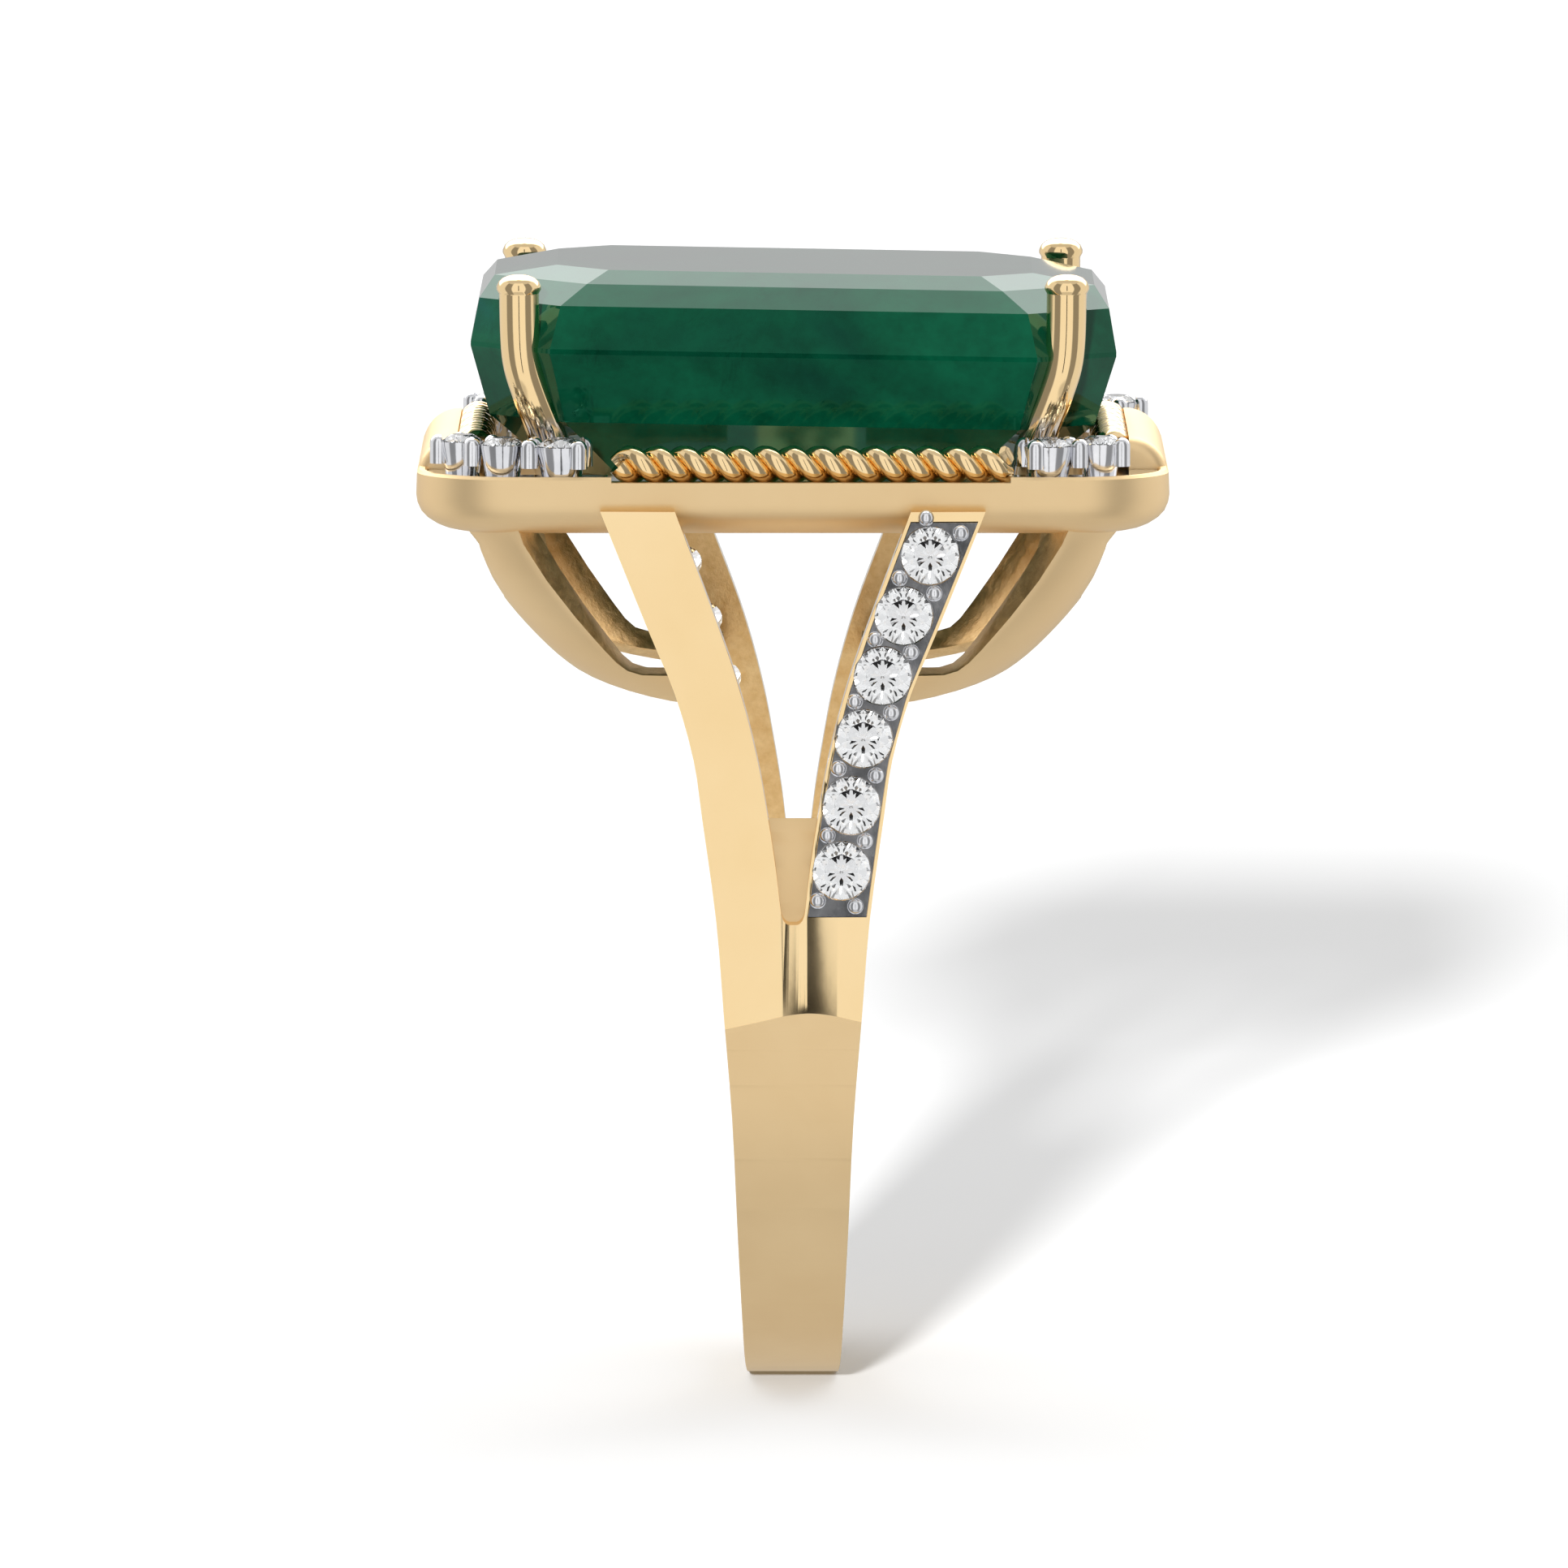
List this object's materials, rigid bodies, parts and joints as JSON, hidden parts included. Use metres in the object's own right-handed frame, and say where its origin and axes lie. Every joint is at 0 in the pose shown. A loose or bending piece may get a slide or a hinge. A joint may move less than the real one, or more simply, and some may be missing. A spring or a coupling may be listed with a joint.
{
  "type": "cocktail ring",
  "caption": "Emerald-cut claw-set cocktail ring with a rope-edged halo, stone-set corners, an open gallery and a split shank with pave shoulders.",
  "frame": {"origin": "centre of the finger hole", "axes": "+X along the finger hole, +Z towards the centre stone's table, +Y across the band"},
  "size_m": [0.0188, 0.0204, 0.0282],
  "materials": {
    "yellow_metal": "polished yellow gold plating",
    "white_metal": "polished rhodium plating",
    "green_stone": "polished dark green stone with inclusions",
    "clear_stone": "polished colourless stone"
  },
  "bodies": {
    "root": {"centre_stone": "green_stone", "claw_back_left": "yellow_metal", "claw_back_right": "yellow_metal", "claw_front_left": "yellow_metal", "claw_front_right": "yellow_metal", "corner_plate_back_left": "white_metal", "corner_plate_back_right": "white_metal", "corner_plate_front_left": "white_metal", "corner_plate_front_right": "white_metal", "corner_stone_back_left_1": "clear_stone", "corner_stone_back_left_2": "clear_stone", "corner_stone_back_right_1": "clear_stone", "corner_stone_back_right_2": "clear_stone", "corner_stone_back_right_3": "clear_stone", "corner_stone_front_left_1": "clear_stone", "corner_stone_front_left_2": "clear_stone", "corner_stone_front_left_3": "clear_stone", "corner_stone_front_right_1": "clear_stone", "corner_stone_front_right_2": "clear_stone", "gallery_left": "yellow_metal", "gallery_right": "yellow_metal", "halo_rim": "yellow_metal", "pave_bar_back": "white_metal", "pave_bar_front": "white_metal", "rope_back": "yellow_metal", "rope_front": "yellow_metal", "rope_left": "yellow_metal", "rope_right": "yellow_metal", "shank": "yellow_metal", "shoulder_stone_back_1": "clear_stone", "shoulder_stone_back_2": "clear_stone", "shoulder_stone_back_3": "clear_stone", "shoulder_stone_back_4": "clear_stone", "shoulder_stone_back_5": "clear_stone", "shoulder_stone_back_6": "clear_stone", "shoulder_stone_front_1": "clear_stone", "shoulder_stone_front_2": "clear_stone", "shoulder_stone_front_3": "clear_stone", "shoulder_stone_front_4": "clear_stone", "shoulder_stone_front_5": "clear_stone", "shoulder_stone_front_6": "clear_stone"}
  },
  "joints": []
}
